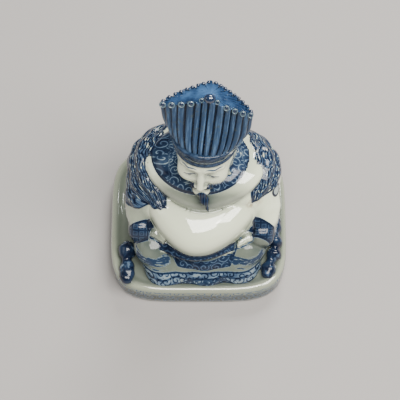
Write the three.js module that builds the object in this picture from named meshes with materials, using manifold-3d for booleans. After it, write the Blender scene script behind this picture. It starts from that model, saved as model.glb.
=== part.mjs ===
// Seated deity in blue-and-white porcelain, moulded and fired as one piece with its low plinth.
// Millimetres, +Z up, the figure faces -Y, origin at the middle of the underside.
//
// The figure sits squarely with its knees apart. A round paunch hangs over a hoop belt that both hands hold.
// It wears a long robe with wide sleeves, leaf-carved shoulder pieces, a raised yoke and a round collar,
// and a ribbed crown that flares from a brow band to two corners under a low gable.
// The head and shoulders turn a little to the figure's right, as the hand-pressed clay settled.
import * as THREE from "three";
import { mergeVertices } from "three/addons/utils/BufferGeometryUtils.js";
import Module from "manifold-3d";

const wasm = await Module();
wasm.setup();

// ---------------------------------------------------------------- sizes
const PLINTH = { w: 141, d: 132, h: 21, square: 4.45, rim: 7, sink: 2.2, foot: 8, hollow: 2.5 };
const BODY_X = 3.5; // the figure sits a little to one side of the plinth's middle
const WAIST_Y = -3; // widest line of the seated body, from front to back
const HEAD = { x: 4.5, y: 7.5, z: 128.5, rx: 20.8, ry: 23.2, rz: 29.5, turn: -8, tilt: 9, hinge: 141 };
const CROWN = { ribs: 7, ribDepth: 1.3, ridge: 202, slope: 0.38, ridgeFall: 0.06 };
const BELLY = { y: -11, z: 60, rx: 47.5, ry: 37, rz: 24 };
const BELT = { x: 2.5, y: -13, z: 45, rx: 40, ry: 33.5, tall: 7 };
const KNEE = { x: 37, y: -29, z: 33, rx: 16, ry: 19, rz: 15 };
const SHOULDER = { x: 40, y: 14, z: 76, rx: 20, ry: 35, rz: 22.5, bend: 0.0098, leaves: 12, carve: 0.04 };
const TWIST = [[15, 3], [40, 0], [60, -3], [90, -5.5], [110, -6]]; // degrees by height

// Rows of the seated body, from the plinth to the neck: z, front y, back y, half-width, squareness of the front.
// The back is rounder, squareness 2.3, and is waisted between the seat and the shoulders.
const BODY = [
  [15, -56.5, 51, 47.5, 3.2],
  [20, -58, 50.5, 48, 3.2],
  [25, -56, 49.5, 48.5, 3.1],
  [31, -51.5, 48, 49.5, 3.0],
  [39, -45.5, 46, 51.5, 2.8],
  [47, -39, 44.5, 53.5, 2.7],
  [56, -31, 44, 55, 2.6],
  [66, -25, 44.5, 55, 2.4],
  [76, -21.5, 46, 52, 2.3],
  [85, -19.5, 46, 45, 2.1],
  [91, -17, 43.5, 40, 2.0],
  [97, -13, 40, 33, 2.0],
  [102, -8, 35, 25, 2.0],
  [107, -4, 31, 18, 2.0],
];
// Rows of the raised yoke: z, front y, back y, half-width, squareness.
const YOKE = [
  [73, -23, 40, 24, 2.0],
  [79, -25.6, 45, 33, 2.0],
  [85, -25.4, 48, 41.5, 2.0],
  [90, -23, 49, 46, 2.0],
  [95, -19, 48, 46.5, 2.0],
  [99, -14, 44, 41.5, 2.0],
  [103, -6, 37, 30, 2.0],
];
// Rows of the round collar: z, front y, back y, half-width, squareness.
const COLLAR = [
  [88, -15, 38, 35, 2.0],
  [94.5, -18.8, 40.5, 38, 2.0],
  [99.5, -17.4, 40.5, 38, 2.0],
  [103, -12.5, 38.5, 34, 2.0],
  [105.5, -6, 35, 27, 2.0],
  [107, 0, 30, 19, 2.0],
];
// Rows of the crown, from the brow band up, from the head's axis:
// z, front y, y of the widest line, back y, half-width, squareness of the back.
const CROWN_ROWS = [
  [141, -23, 0, 23.6, 23.4, 2.0],
  [150, -24.6, 0, 25, 26.4, 2.0],
  [158, -22.4, -0.6, 24, 30, 1.95],
  [168, -17.9, -2.6, 21.4, 32.2, 1.75],
  [180, -12.6, -4.6, 16.6, 32.8, 1.5],
  [191, -9, -5.8, 12, 33.2, 1.3],
  [204, -6.6, -5.6, 9.4, 33.4, 1.22],
];

// ---------------------------------------------------------------- helpers
const rad = (d) => (d * Math.PI) / 180;
const clamp = (v, a, b) => Math.min(Math.max(v, a), b);

// Smooth curve through the rows of a table, each row starting with its z.
function along(rows, z) {
  let i = 0;
  while (i < rows.length - 2 && z > rows[i + 1][0]) i++;
  const a = rows[Math.max(i - 1, 0)], b = rows[i], c = rows[i + 1], d = rows[Math.min(i + 2, rows.length - 1)];
  const h = c[0] - b[0], t = clamp((z - b[0]) / h, 0, 1), t2 = t * t, t3 = t2 * t;
  return b.slice(1).map((v, k) => {
    const m0 = ((c[k + 1] - a[k + 1]) / (c[0] - a[0])) * h;
    const m1 = ((d[k + 1] - b[k + 1]) / (d[0] - b[0])) * h;
    return (2 * t3 - 3 * t2 + 1) * v + (t3 - 2 * t2 + t) * m0 + (3 * t2 - 2 * t3) * c[k + 1] + (t3 - t2) * m1;
  });
}
const twistAt = (z) => rad(along(TWIST, clamp(z, 15, 110))[0]);

// A closed skin over rings of equal count, with a flat fan at each end.
function loft(rings) {
  const n = rings[0].length, pos = [], index = [];
  for (const r of rings) for (const p of r) pos.push(p.x, p.y, p.z);
  for (const end of [rings[0], rings[rings.length - 1]]) {
    const m = end.reduce((s, p) => s.add(p), new THREE.Vector3()).divideScalar(n);
    pos.push(m.x, m.y, m.z);
  }
  const low = rings.length * n, top = low + 1, last = (rings.length - 1) * n;
  for (let i = 0; i < n; i++) {
    const j = (i + 1) % n;
    for (let r = 0; r < rings.length - 1; r++) {
      const a = r * n + i, b = r * n + j;
      index.push(a, b, a + n, b, b + n, a + n);
    }
    index.push(low, j, i, top, last + i, last + j);
  }
  return new THREE.BufferGeometry()
    .setAttribute("position", new THREE.Float32BufferAttribute(pos, 3))
    .setIndex(index);
}

// A ring of a superellipse with its own front and back depth, turned by the body's twist at its height.
function ring(z, cx, cy, hw, front, back, n, count, push = () => 0, twisted = true, nBack = n) {
  const w = twisted ? twistAt(z) : 0;
  return Array.from({ length: count }, (_, i) => {
    const a = (i / count) * 2 * Math.PI, c = Math.cos(a), s = Math.sin(a), g = push(a, z);
    const k = s < 0 ? n : nBack;
    const x = (hw + g) * Math.sign(c) * Math.abs(c) ** (2 / k);
    const y = ((s < 0 ? front : back) + g) * Math.sign(s) * Math.abs(s) ** (2 / k);
    const p = new THREE.Vector3(cx + x, cy + y, z);
    p.sub(PIVOT).applyAxisAngle(UP, w).add(PIVOT);
    return p;
  });
}
const UP = new THREE.Vector3(0, 0, 1);
const PIVOT = new THREE.Vector3(BODY_X, 0, 0);

const rowsBody = (rows, cx, cy, count, levels, push, nBack) =>
  loft(levels.map((z) => {
    const [f, b, hw, n] = along(rows, z);
    return ring(z, cx, cy, hw, cy - f, b - cy, n, count, push, true, nBack);
  }));

// An ellipsoid from a sphere, turned about X, then Z.
function ellipsoid(x, y, z, rx, ry, rz, { turnX = 0, turnZ = 0, seg = 20 } = {}) {
  const g = new THREE.SphereGeometry(1, seg, Math.round(seg * 0.55));
  g.rotateX(Math.PI / 2).scale(rx, ry, rz);
  return g.rotateX(rad(turnX)).rotateZ(rad(turnZ)).translate(x, y, z);
}

// A limb: round rings along a smooth curve, each with its own radius.
function limb(points, radii, seg = 16, steps = 10) {
  const path = new THREE.CatmullRomCurve3(points.map((p) => new THREE.Vector3(...p)));
  const f = path.computeFrenetFrames(steps, false);
  const rings = [];
  for (let i = 0; i <= steps; i++) {
    const t = i / steps, p = path.getPointAt(t);
    const k = t * (radii.length - 1), k0 = Math.min(Math.floor(k), radii.length - 2);
    const r = THREE.MathUtils.lerp(radii[k0], radii[k0 + 1], k - k0);
    rings.push(Array.from({ length: seg }, (_, j) => {
      const a = (j / seg) * 2 * Math.PI;
      return p.clone().addScaledVector(f.normals[i], r * Math.cos(a)).addScaledVector(f.binormals[i], r * Math.sin(a));
    }));
  }
  return loft(rings);
}

// Turned with the body at the height z.
const settled = (g, z) =>
  g.translate(-PIVOT.x, -PIVOT.y, 0).rotateZ(twistAt(z)).translate(PIVOT.x, PIVOT.y, 0);
// Tilted back a little about the brow, as the face is.
const tilted = (g) => g.translate(0, 0, -HEAD.hinge).rotateX(rad(-HEAD.tilt)).translate(0, 0, HEAD.hinge);
// Turned with the head and moved to its place.
const onHead = (g) => g.rotateZ(rad(HEAD.turn)).translate(HEAD.x, HEAD.y, 0);

// A geometry as a solid, with its shared corners merged and its faces pointing out.
function solid(g) {
  let m = g.clone();
  for (const k of Object.keys(m.attributes)) if (k !== "position") m.deleteAttribute(k);
  m = mergeVertices(m, 1e-4);
  const keep = [], ix = m.index.array;
  for (let i = 0; i < ix.length; i += 3)
    if (ix[i] !== ix[i + 1] && ix[i + 1] !== ix[i + 2] && ix[i] !== ix[i + 2]) keep.push(ix[i], ix[i + 1], ix[i + 2]);
  const p = m.attributes.position, v = [0, 1, 2].map(() => new THREE.Vector3());
  let volume = 0;
  for (let i = 0; i < keep.length; i += 3) {
    v.forEach((q, k) => q.fromBufferAttribute(p, keep[i + k]));
    volume += v[0].dot(v[1].clone().cross(v[2]));
  }
  if (volume < 0)
    for (let i = 0; i < keep.length; i += 3) [keep[i + 1], keep[i + 2]] = [keep[i + 2], keep[i + 1]];
  return new wasm.Manifold(new wasm.Mesh({ numProp: 3, vertProperties: p.array, triVerts: new Uint32Array(keep) }));
}

// ---------------------------------------------------------------- plinth
// A rounded square that bulges slightly, with a rolled rim round a shallow tray and a shallow hollow below.
const outline = (z, inset) =>
  ring(z, 0, 0, PLINTH.w / 2 - inset, PLINTH.d / 2 - inset, PLINTH.d / 2 - inset, PLINTH.square, 44, () => 0, false);
const plinth = loft([
  outline(PLINTH.hollow, PLINTH.foot + 1.5), outline(0, PLINTH.foot), outline(0, 1.6), outline(1.8, 0.5),
  outline(PLINTH.h - 5, 0), outline(PLINTH.h - 2, 0.9), outline(PLINTH.h - 0.4, 2.6),
  outline(PLINTH.h, 4.6), outline(PLINTH.h - 0.7, PLINTH.rim), outline(PLINTH.h - PLINTH.sink, PLINTH.rim + 3.5),
]);

// ---------------------------------------------------------------- body and robe
// Soft folds run down the back and the sides of the robe, and fade out above the waist.
const robeFolds = (a, z) =>
  clamp(1 - (z - 15) / 55, 0, 1) *
  (1.3 * Math.max(0, Math.sin(a)) * Math.cos(9 * a) + 0.8 * (1 - Math.abs(Math.sin(a))) * Math.cos(14 * a));
const body = rowsBody(BODY, BODY_X, WAIST_Y, 36, [15, 22, 31, 42, 56, 70, 80, 88, 95, 107], robeFolds, 2.3);

// Knees under the robe, the cloth falling from each to the plinth, and the apron between them.
const knees = [-1, 1].flatMap((s) => {
  const x = BODY_X - 2.5 + s * KNEE.x;
  return [
    ellipsoid(x, KNEE.y, KNEE.z, KNEE.rx, KNEE.ry, KNEE.rz, { turnZ: s * 6, seg: 16 }),
    loft([[15, 17, -57.5], [19, 18, -59.6], [23, 17, -58], [29, 15.5, -53.6], [36, 13, -48], [44, 10, -40]].map(([z, rx, f]) =>
      ring(z, x - s * (8.5 - (z - 15) * 0.22), -32, rx, -32 - f, 12, 2.3, 16))),
  ];
});
const apron = loft([[15, 15, -59], [19, 16, -61], [23, 15, -59.2], [27, 13, -54.8], [35, 14.5, -50], [45, 19, -43]].map(
  ([z, rx, f]) => ring(z, BODY_X + 0.5, -34, rx, -34 - f, 12, 2.3, 18)));

// ---------------------------------------------------------------- paunch and belt
const belly = ellipsoid(BODY_X, BELLY.y, BELLY.z, BELLY.rx, BELLY.ry, BELLY.rz, { turnX: 4, seg: 26 });
const belt = loft([[-0.5, -2.4], [-0.34, 0], [0, 0.9], [0.34, 0.2], [0.5, -2]].map(([k, g]) =>
  ring(BELT.z + k * BELT.tall, BELT.x, BELT.y, BELT.rx + g, BELT.ry + g, BELT.ry, 2, 34)));

// ---------------------------------------------------------------- arms, sleeves and hands
const arms = [-1, 1].flatMap((s) => {
  const x = (k) => BODY_X + s * k;
  return [
    limb([[x(37), 10, 82], [x(44), 3, 70], [x(45.5), -8, 59], [x(46), -20, 51], [x(45.5), -31, 46.5]], [12, 15, 14.6, 13, 10.5], 14, 6),
    // the sleeve's mouth hangs over the knee
    loft([[34, 8, 10], [40, 9.4, 12], [48, 10.4, 13], [58.5, 6, 7]].map(([z, rx, ry]) =>
      ring(z, x(47.5), -24 - (58.5 - z) * 0.1, rx, ry, ry, 2.8, 14))),
    // the hand and its fingers hooked on the belt
    ellipsoid(x(35), -29.5, 49.5, 5, 5.8, 4.8, { turnZ: s * 30, seg: 8 }),
    ...[0, 1].map((k) =>
      ellipsoid(x(32.6 - k * 3.2), -32.4 - k * 2.6, 49.8 - k * 0.5, 2.1, 3.4, 3.8, { turnZ: s * 36, turnX: 16, seg: 8 })),
  ];
}).map((g) => settled(g, 60));

// ---------------------------------------------------------------- shoulder pieces, yoke and collar
// Each shoulder piece is a shell over the arm, carved with long leaves that run down to its front point.
const shoulders = [-1, 1].map((s) => {
  const g = new THREE.SphereGeometry(1, 36, 9); // poles at the back and at the front point
  const p = g.attributes.position, v = new THREE.Vector3();
  for (let i = 0; i < p.count; i++) {
    v.fromBufferAttribute(p, i);
    const k = 1 + SHOULDER.carve * Math.cos(SHOULDER.leaves * Math.atan2(v.z, v.x)) * Math.hypot(v.x, v.z);
    // both ends bend in, so that the shell lies round the shoulder
    const y = v.y * SHOULDER.ry;
    p.setXYZ(i, v.x * SHOULDER.rx * k - s * SHOULDER.bend * y * y, y, v.z * SHOULDER.rz * k);
  }
  return settled(g.rotateX(rad(10)).translate(BODY_X + s * SHOULDER.x, SHOULDER.y, SHOULDER.z), 90);
});
const yoke = rowsBody(YOKE, BODY_X, 10, 30, YOKE.map((r) => r[0]));
const collar = rowsBody(COLLAR, BODY_X, 12, 30, COLLAR.map((r) => r[0]));

// ---------------------------------------------------------------- head
const skull = (() => {
  const g = new THREE.SphereGeometry(1, 20, 12);
  g.rotateX(Math.PI / 2);
  const p = g.attributes.position;
  for (let i = 0; i < p.count; i++) {
    const z = p.getZ(i), low = Math.max(0, -z);
    // below the eyes the profile is fuller than a ball's, while the cheeks narrow to the chin
    const full = low > 0 && low < 0.999 ? (1 - low ** 2.7) ** (1 / 2.7) / Math.sqrt(1 - low * low) : 1;
    p.setXYZ(i, p.getX(i) * HEAD.rx * full * (1 - 0.26 * low ** 1.6), p.getY(i) * HEAD.ry * full * (1 - 0.12 * low * low), z * HEAD.rz + HEAD.z);
  }
  return g;
})();
// Features are placed by fractions of the head's height: eyes half way, nose and mouth in thirds below.
const eyeZ = HEAD.z + 1, noseZ = HEAD.z - 11, lipZ = HEAD.z - 17, chinZ = HEAD.z - 24;
const head = [
  skull,
  limb([[0, -21.8, eyeZ + 3], [0, -24, eyeZ - 4], [0, -26.6, noseZ]], [1.7, 2.3, 3], 8, 2), // nose
  ...[-1, 1].flatMap((s) => [
    ellipsoid(s * 2.9, -24, noseZ - 0.4, 2.1, 2.5, 1.8, { seg: 6 }), // nostril
    ellipsoid(s * 7.9, -20.8, eyeZ + 4.8, 5.8, 2.6, 1.7, { turnZ: s * 14, seg: 8 }), // brow
    ellipsoid(s * 7.9, -20.4, eyeZ, 4.4, 2.6, 2.2, { turnZ: s * 16, seg: 8 }), // eyelid
    ellipsoid(s * 20.6, 2, HEAD.z - 3, 2.4, 5, 8.5, { turnX: -8, seg: 8 }), // ear
  ]),
  ellipsoid(0, -21.6, lipZ, 5.2, 2.8, 2, { seg: 8 }), // lips
  ellipsoid(0, -18.8, chinZ, 6.6, 4.2, 4.6, { seg: 10 }), // chin
  limb([[0, -20, chinZ - 1], [1.6, -23.5, chinZ - 11], [6, -27.5, chinZ - 22]], [4, 3.2, 1], 8, 3), // beard
].map((g) => onHead(tilted(g)));

// ---------------------------------------------------------------- crown
// Ribs are spread across the front between the corners; each is drawn in a few steps, with a groove between ribs.
const STEPS = 3;
const ribPhase = (t) => CROWN.ribs * (0.6 * Math.sin(t) + (0.4 * t) / (Math.PI / 2));
const ribAngles = (() => {
  const list = [];
  for (let k = -CROWN.ribs * STEPS; k < CROWN.ribs * STEPS; k++) {
    let lo = -Math.PI / 2, hi = Math.PI / 2;
    for (let i = 0; i < 40; i++) {
      const m = (lo + hi) / 2;
      if (ribPhase(m) < k / STEPS) lo = m; else hi = m;
    }
    list.push([lo, k / STEPS]);
  }
  return list;
})();
function crownRing(z) {
  const [f, mid, b, hw, n] = along(CROWN_ROWS, z);
  const rise = clamp((z - 149) / 5, 0, 1);
  const pts = [];
  for (const side of [-1, 1])
    for (const [t, phase] of ribAngles) {
      const g = CROWN.ribDepth * rise * (Math.abs(Math.sin(phase * Math.PI)) ** 0.7 - 0.6);
      const x = -side * Math.sin(t), c = Math.cos(t);
      const y = side < 0 ? mid - (mid - f) * c : mid + (b - mid) * (1 - Math.abs(x) ** n) ** (1 / n);
      pts.push(new THREE.Vector3(x * (hw + g), y + g * side * c, z));
    }
  return pts;
}
let crown = solid(onHead(loft([141, 149, 155, 166, 180, 204].map(crownRing))));
// two planes leave a low gable, whose ridge falls a little to the front
for (const side of [-1, 1]) {
  const cut = new THREE.BoxGeometry(160, 160, 60);
  cut.translate(side * 80, 0, 30).rotateX(Math.atan(CROWN.ridgeFall));
  cut.rotateY(side * Math.atan(CROWN.slope)).translate(0, 0, CROWN.ridge);
  crown = crown.subtract(solid(onHead(cut)));
}
const gable = (x, y) => CROWN.ridge - CROWN.slope * Math.abs(x) + y * CROWN.ridgeFall;
const band = loft([[140.4, 22.6], [142, 24.4], [145, 25.2], [148.4, 25.6], [149.8, 24.4]].map(([z, r]) =>
  ring(z, 0, 0, r, r, r, 2, 30, () => 0, false)));
// Ringed bosses stand along the front edge of the gable, smaller knobs along its back edge.
const trim = [band];
for (const side of [-1, 1])
  for (const k of [10.5, 17.8, 25, 31.6]) {
    const [f, mid, b, hw, n] = along(CROWN_ROWS, gable(k, 0));
    const q = Math.min(k / hw, 0.995);
    const yf = mid - (mid - f) * Math.sqrt(1 - q * q), yb = mid + (b - mid) * (1 - q ** n) ** (1 / n);
    trim.push(ellipsoid(side * k, yf + 0.4, gable(k, yf) - 0.6, 2.7, 2.1, 2.7, { seg: 7 }));
    trim.push(ellipsoid(side * (k - 2), yb + 0.6, gable(k, yb) - 0.4, 1.9, 1.9, 2.1, { seg: 6 }));
  }
trim.push(ellipsoid(0, -5, CROWN.ridge - 0.8, 4.4, 3.8, 4, { seg: 12 }));
const crownTrim = trim.map(onHead);

// ---------------------------------------------------------------- lumps at the figure's sides
const lumps = [
  ellipsoid(-57, -48, 21.5, 6.4, 11, 6, { seg: 9 }),
  ellipsoid(-57, -31, 23.5, 7, 8, 7.5, { seg: 8 }),
  ellipsoid(55.5, -45, 21.5, 5.8, 9, 6.4, { turnZ: -12, seg: 8 }),
  ellipsoid(60.5, -33, 22.5, 5.6, 7.4, 7, { turnZ: 24, seg: 8 }),
  ellipsoid(60.5, -20, 24, 4.8, 8, 8.5, { turnZ: -8, seg: 8 }),
];

// ---------------------------------------------------------------- the one piece
const whole = [
  plinth, body, ...knees, apron, belly, belt, ...arms, ...shoulders, yoke, collar, ...head, ...crownTrim, ...lumps,
].map(solid).reduce((a, b) => a.add(b)).add(crown);

const mesh = whole.getMesh();
const position = new Float32Array(mesh.numVert * 3);
for (let i = 0; i < mesh.numVert; i++)
  position.set(mesh.vertProperties.subarray(i * mesh.numProp, i * mesh.numProp + 3), i * 3);
const geometry = new THREE.BufferGeometry();
geometry.setAttribute("position", new THREE.BufferAttribute(position, 3));
geometry.setIndex(new THREE.BufferAttribute(new Uint32Array(mesh.triVerts), 1));
geometry.computeVertexNormals();

const porcelain = new THREE.MeshStandardMaterial({ color: 0xd9dfd6, roughness: 0.12, metalness: 0 });
const deity = new THREE.Mesh(geometry, porcelain);
deity.name = "deity_figure";
const group = new THREE.Group();
group.add(deity);
export default group;
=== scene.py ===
import math

import bpy
import numpy as np
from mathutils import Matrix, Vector


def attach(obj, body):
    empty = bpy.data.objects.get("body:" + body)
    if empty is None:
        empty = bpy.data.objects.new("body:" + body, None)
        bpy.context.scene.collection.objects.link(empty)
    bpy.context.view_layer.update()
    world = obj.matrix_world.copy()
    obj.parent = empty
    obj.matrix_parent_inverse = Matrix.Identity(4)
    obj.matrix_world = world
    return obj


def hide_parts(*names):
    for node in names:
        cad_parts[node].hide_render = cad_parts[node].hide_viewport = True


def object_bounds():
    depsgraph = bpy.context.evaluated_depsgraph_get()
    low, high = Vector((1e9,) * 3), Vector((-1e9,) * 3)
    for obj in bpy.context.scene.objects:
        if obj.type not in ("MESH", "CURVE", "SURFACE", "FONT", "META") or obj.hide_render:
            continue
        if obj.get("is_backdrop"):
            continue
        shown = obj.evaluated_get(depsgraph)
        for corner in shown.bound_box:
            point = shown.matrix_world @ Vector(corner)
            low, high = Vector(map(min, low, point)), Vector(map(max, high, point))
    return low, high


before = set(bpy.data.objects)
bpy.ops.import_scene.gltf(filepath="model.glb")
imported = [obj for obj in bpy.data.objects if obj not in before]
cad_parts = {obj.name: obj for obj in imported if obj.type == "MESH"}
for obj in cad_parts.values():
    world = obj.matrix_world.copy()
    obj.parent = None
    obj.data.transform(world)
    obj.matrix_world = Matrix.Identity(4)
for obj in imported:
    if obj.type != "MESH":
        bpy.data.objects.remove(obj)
cad_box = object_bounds()

# ------------------------------------------------------------------ sizes, as in the solid
PLINTH = dict(w=141, d=132, h=21, square=4.45, rim=7, sink=2.2, foot=8, hollow=2.5)
BODY_X, WAIST_Y = 3.5, -3
HEAD = dict(x=5.6, y=7.2, z=128.5, rx=20.8, ry=23.2, rz=29.5, turn=-8, tilt=9, hinge=141, grow=(1.07, 1.09, 1.10))
CROWN = dict(ribs=7, depth=3.0, ridge=202, slope=0.38, fall=0.06)
BELLY = dict(y=-11, z=59.5, rx=44.5, ry=39, rz=24, point=1.42, soft=7, flat=3.0, drift=5.0)
BELT = dict(x=2.5, y=-13, z=45, rx=42, ry=33.5, tall=7, point=1.76)
KNEE = dict(x=37, y=-29, z=33, rx=16, ry=19, rz=15)
SHOULDER = dict(x=40, y=14, z=76, rx=20, ry=35, rz=22.5, bend=0.0098, leaves=12, carve=0.04)
TWIST = [[15, 3], [40, 0], [60, -3], [90, -5.5], [110, -6]]
BODY = [
    [12, -56, 51, 47.5, 3.2], [20, -58, 50.5, 48, 3.2], [25, -56, 49.5, 48.5, 3.1], [31, -51.5, 48, 49.5, 3.0],
    [39, -45.5, 46, 51.5, 2.8], [47, -39, 44.5, 53.5, 2.7], [56, -31, 44, 55, 2.6], [66, -25, 44.5, 55, 2.4],
    [76, -21.5, 46, 52, 2.3], [85, -19.5, 46, 45, 2.1], [91, -17, 43.5, 40, 2.0], [97, -13, 40, 33, 2.0],
    [102, -8, 35, 25, 2.0], [107, -4, 31, 18, 2.0],
]
YOKE = [
    [73, -23, 40, 24, 2.0], [79, -25.6, 45, 33, 2.0], [85, -25.4, 48, 41.5, 2.0], [90, -23, 49, 46, 2.0],
    [95, -19, 48, 46.5, 2.0], [99, -14, 44, 41.5, 2.0], [103, -6, 37, 30, 2.0],
]
COLLAR = [
    [88, -15, 38, 35, 2.0], [94.5, -18.8, 40.5, 38, 2.0], [99.5, -17.4, 40.5, 38, 2.0], [103, -12.5, 38.5, 34, 2.0],
    [105.5, -6, 35, 27, 2.0], [107, 0, 30, 19, 2.0],
]
CROWN_ROWS = [
    [141, -23, 0, 23.6, 23.4, 2.0], [150, -24.6, 0, 25, 26.4, 2.0], [158, -22.4, -0.6, 24, 30, 1.95],
    [168, -17.9, -2.6, 21.4, 32.2, 1.75], [180, -12.6, -4.6, 16.6, 32.8, 1.5], [191, -9, -5.8, 12, 33.2, 1.3],
    [204, -6.6, -5.6, 9.4, 33.4, 1.22],
]
BODY_CELL = 1.22
HEAD_CELL = 0.82


# ------------------------------------------------------------------ curves and distances
def along(rows, z):
    """Smooth curve through a table's rows by height, for whole arrays of heights."""
    rows = np.asarray(rows, float)
    z = np.asarray(z, float)
    n = len(rows)
    i = np.clip(np.searchsorted(rows[:, 0], z, side="right") - 1, 0, n - 2)
    a, b, c, d = rows[np.maximum(i - 1, 0)], rows[i], rows[i + 1], rows[np.minimum(i + 2, n - 1)]
    h = (c[..., 0] - b[..., 0])[..., None]
    t = np.clip((z - b[..., 0])[..., None] / h, 0, 1)
    m0 = (c - a) / (c[..., :1] - a[..., :1]) * h
    m1 = (d - b) / (d[..., :1] - b[..., :1]) * h
    t2, t3 = t * t, t * t * t
    return ((2 * t3 - 3 * t2 + 1) * b + (t3 - 2 * t2 + t) * m0 + (3 * t2 - 2 * t3) * c + (t3 - t2) * m1)[..., 1:]


def spin(x, y, deg, cx=0.0, cy=0.0):
    a = np.radians(deg)
    c, s = np.cos(a), np.sin(a)
    return cx + (x - cx) * c - (y - cy) * s, cy + (x - cx) * s + (y - cy) * c


def untwist(x, y, z):
    return spin(x, y, -along(TWIST, np.clip(z, 15, 110))[..., 0], BODY_X, 0)


def ellipsoid(x, y, z, c, r, turn=0.0, tip=0.0):
    """Distance to an ellipsoid turned by turn about Z and tipped by tip about X first."""
    x, y, z = x - c[0], y - c[1], z - c[2]
    if turn:
        x, y = spin(x, y, -turn)
    if tip:
        y, z = spin(y, z, -tip)
    k0 = np.sqrt((x / r[0]) ** 2 + (y / r[1]) ** 2 + (z / r[2]) ** 2) + 1e-6
    k1 = np.sqrt((x / r[0] ** 2) ** 2 + (y / r[1] ** 2) ** 2 + (z / r[2] ** 2) ** 2) + 1e-9
    return k0 * (k0 - 1) / k1


def smin(a, b, k):
    h = np.clip(0.5 + 0.5 * (b - a) / k, 0, 1)
    return b + (a - b) * h - k * h * (1 - h)


def smax(a, b, k):
    return -smin(-a, -b, k)


def rows_dist(x, y, z, rows, cx, cy, back=None, soft=1.5, grow=0.0):
    """Distance to a body whose sections are superellipses from a table."""
    row = along(rows, z)
    f, b, hw, n = row[..., 0], row[..., 1], row[..., 2], row[..., 3]
    dx, dy = x - cx, y - cy
    front = dy < 0
    hd = np.where(front, cy - f, b - cy)
    k = n if back is None else np.where(front, n, back)
    q = (np.abs(dx / hw) ** k + np.abs(dy / hd) ** k) ** (1 / k) + 1e-6
    r = np.sqrt(dx * dx + dy * dy)
    d = (r - r / q) - grow
    d = smax(d, rows[0][0] - z, soft)
    return smax(d, z - rows[-1][0], soft)


def limb(x, y, z, pts, radii, k=3.0):
    """Distance to a chain of round cones."""
    d = None
    for (p, q, ra, rb) in zip(pts[:-1], pts[1:], radii[:-1], radii[1:]):
        vx, vy, vz = (q[i] - p[i] for i in range(3))
        ll = vx * vx + vy * vy + vz * vz
        t = np.clip(((x - p[0]) * vx + (y - p[1]) * vy + (z - p[2]) * vz) / ll, 0, 1)
        e = np.sqrt((x - p[0] - t * vx) ** 2 + (y - p[1] - t * vy) ** 2 + (z - p[2] - t * vz) ** 2) - (ra + (rb - ra) * t)
        d = e if d is None else smin(d, e, k)
    return d


def box_dist(x, y, z, c, r, turn=0.0, soft=1.0):
    x, y, z = x - c[0], y - c[1], z - c[2]
    if turn:
        x, y = spin(x, y, -turn)
    qx, qy, qz = np.abs(x) - (r[0] - soft), np.abs(y) - (r[1] - soft), np.abs(z) - (r[2] - soft)
    out = np.sqrt(np.maximum(qx, 0) ** 2 + np.maximum(qy, 0) ** 2 + np.maximum(qz, 0) ** 2)
    return out + np.minimum(np.maximum(qx, np.maximum(qy, qz)), 0) - soft


def nets(fn, lo, hi, cell):
    """A closed mesh of the surface where fn is nought, by averaging the crossings in each cell."""
    lo, hi = np.array(lo, float), np.array(hi, float)
    n = np.ceil((hi - lo) / cell).astype(int) + 1
    ax = [lo[i] + cell * np.arange(n[i]) for i in range(3)]
    g = fn(ax[0][:, None, None], ax[1][None, :, None], ax[2][None, None, :])
    g = np.broadcast_to(g, tuple(n)).astype(np.float32).copy()
    g[0], g[-1] = 9, 9
    g[:, 0], g[:, -1] = 9, 9
    g[:, :, 0], g[:, :, -1] = 9, 9
    inside = g < 0
    m = tuple(n - 1)
    total = np.zeros(m + (3,), np.float32)
    count = np.zeros(m, np.float32)
    for axis in range(3):
        sl0, sl1 = [slice(None)] * 3, [slice(None)] * 3
        sl0[axis], sl1[axis] = slice(0, -1), slice(1, None)
        a, b = g[tuple(sl0)], g[tuple(sl1)]
        cross = inside[tuple(sl0)] != inside[tuple(sl1)]
        t = np.where(cross, a / np.where(cross, a - b, 1), 0)
        o1, o2 = [i for i in range(3) if i != axis]
        for s1 in (0, 1):
            for s2 in (0, 1):
                sl = [slice(None)] * 3
                sl[o1] = slice(s1, s1 + m[o1])
                sl[o2] = slice(s2, s2 + m[o2])
                cc, tt = cross[tuple(sl)], t[tuple(sl)]
                count += cc
                total[..., axis] += np.where(cc, tt, 0)
                total[..., o1] += cc * s1
                total[..., o2] += cc * s2
    used = count > 0
    index = -np.ones(m, np.int64)
    index[used] = np.arange(used.sum())
    base = np.stack(np.nonzero(used), -1)
    verts = lo + cell * (base + total[used] / count[used][:, None])
    for _ in range(2):
        # draw each point onto the surface itself
        e = 0.12
        vx, vy, vz = verts.T
        d0 = fn(vx, vy, vz)
        grad = np.stack([fn(vx + e, vy, vz) - d0, fn(vx, vy + e, vz) - d0, fn(vx, vy, vz + e) - d0], -1) / e
        move = -(d0 / np.maximum((grad ** 2).sum(-1), 0.25))[:, None] * grad
        size = np.linalg.norm(move, axis=1)[:, None] + 1e-9
        verts = verts + move * np.minimum(1, 0.35 * cell / size)
    faces = []
    for axis in range(3):
        o1, o2 = [(1, 2), (2, 0), (0, 1)][axis]
        sl0, sl1 = [slice(None)] * 3, [slice(None)] * 3
        sl0[axis], sl1[axis] = slice(0, -1), slice(1, None)
        a, b = inside[tuple(sl0)], inside[tuple(sl1)]
        for flip, cross in ((False, a & ~b), (True, ~a & b)):
            p = np.stack(np.nonzero(cross), -1)
            p = p[(p[:, o1] > 0) & (p[:, o2] > 0)]
            quad = []
            for s1, s2 in ((-1, -1), (0, -1), (0, 0), (-1, 0)):
                q = p.copy()
                q[:, o1] += s1
                q[:, o2] += s2
                quad.append(index[q[:, 0], q[:, 1], q[:, 2]])
            f = np.stack(quad, -1)
            faces.append(f[:, ::-1] if flip else f)
    return verts, np.concatenate(faces)


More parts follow.
